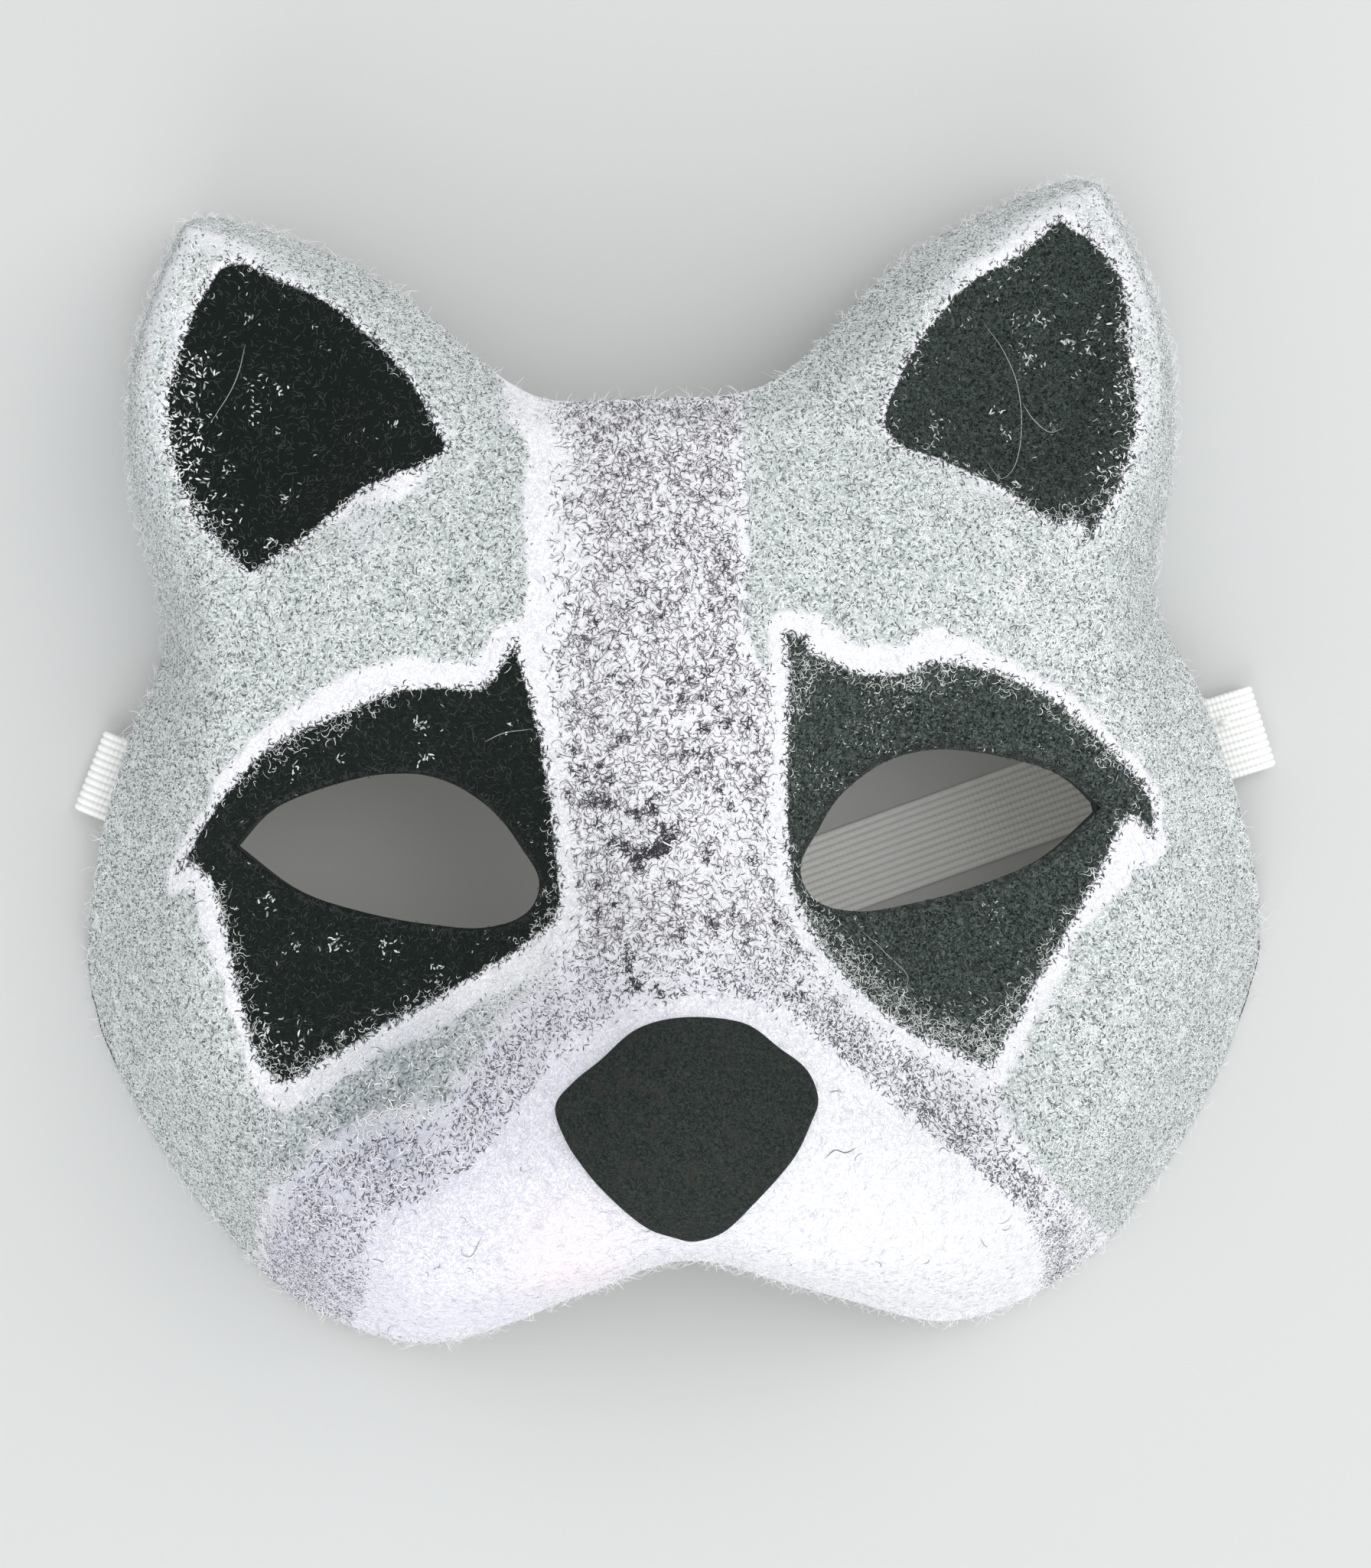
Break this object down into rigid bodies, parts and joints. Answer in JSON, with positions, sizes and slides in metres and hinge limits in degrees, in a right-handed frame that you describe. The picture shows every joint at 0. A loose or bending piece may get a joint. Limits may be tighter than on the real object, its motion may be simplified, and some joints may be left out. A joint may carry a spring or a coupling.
{
  "type": "raccoon mask",
  "caption": "Half mask of a raccoon's face: moulded shell with ears and eye holes, covered in one painted felt skin, with a felt nose and an elastic strap to hold it on.",
  "frame": {"origin": "on the floor under the middle of the mask's outline, the strap left aside", "axes": "+X to the right of the face as it is seen, +Y towards the ears, +Z out of the face and up, because the mask lies face up on its rim"},
  "size_m": [0.1928, 0.1796, 0.0699],
  "materials": {
    "shell": "matt off-white moulded shell, plain inside",
    "painted_felt": "white felt with fuzzy fibres, painted: speckled grey face, black eyes and inner ears with ragged white borders, dark strokes down the brow, white muzzle",
    "nose_felt": "smooth dense charcoal felt with a crisp edge",
    "elastic": "white woven elastic with lengthwise ribs",
    "glue": "dried hot glue, cloudy and glossy"
  },
  "bodies": {
    "root": {"mask_shell": "shell", "felt_cover": "painted_felt", "nose_pad": "nose_felt", "strap": "elastic", "glue_drop": "glue"}
  },
  "joints": []
}
